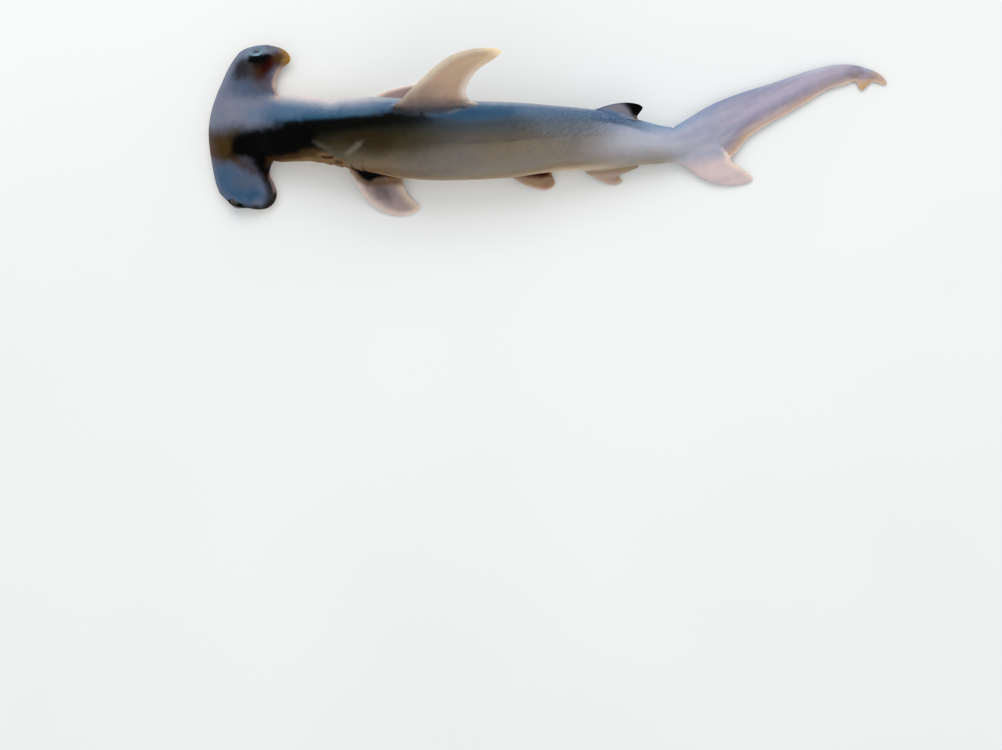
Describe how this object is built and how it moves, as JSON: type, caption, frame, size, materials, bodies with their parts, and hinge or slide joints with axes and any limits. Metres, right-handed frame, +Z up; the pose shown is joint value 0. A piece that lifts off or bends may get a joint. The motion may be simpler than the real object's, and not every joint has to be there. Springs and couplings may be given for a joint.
{
  "type": "hammerhead shark specimen",
  "caption": "Young hammerhead shark as a still life-size specimen, lying with its head flat and its body rolled on one flank, tail fin laid out flat.",
  "frame": {"origin": "bottom centre of the bounding box, on the floor that the shark lies on", "axes": "+X from the snout to the tail, +Y towards the shark's right wing, +Z up"},
  "size_m": [0.4842, 0.1206, 0.0764],
  "materials": {
    "back_skin": "moist slate-grey skin, satin",
    "flank_skin": "moist grey to tan skin with fine creases, satin",
    "belly_skin": "moist cream skin, satin",
    "fin_skin": "thin moist fin skin with paler edges, satin",
    "eye": "wet, glossy, dark pupil in a blue-grey iris"
  },
  "bodies": {
    "root": {"head": "back_skin", "hammer_wing_left": "back_skin", "hammer_wing_right": "back_skin", "lower_jaw": "belly_skin", "gill_region": "back_skin", "trunk": "flank_skin", "tail_stalk": "flank_skin", "caudal_upper_lobe": "fin_skin", "caudal_lower_lobe": "fin_skin", "first_dorsal_fin": "fin_skin", "second_dorsal_fin": "fin_skin", "pectoral_fin_left": "fin_skin", "pectoral_fin_right": "fin_skin", "pelvic_fin_left": "fin_skin", "pelvic_fin_right": "fin_skin", "anal_fin": "fin_skin", "eye_left": "eye", "eye_right": "eye"}
  },
  "joints": []
}
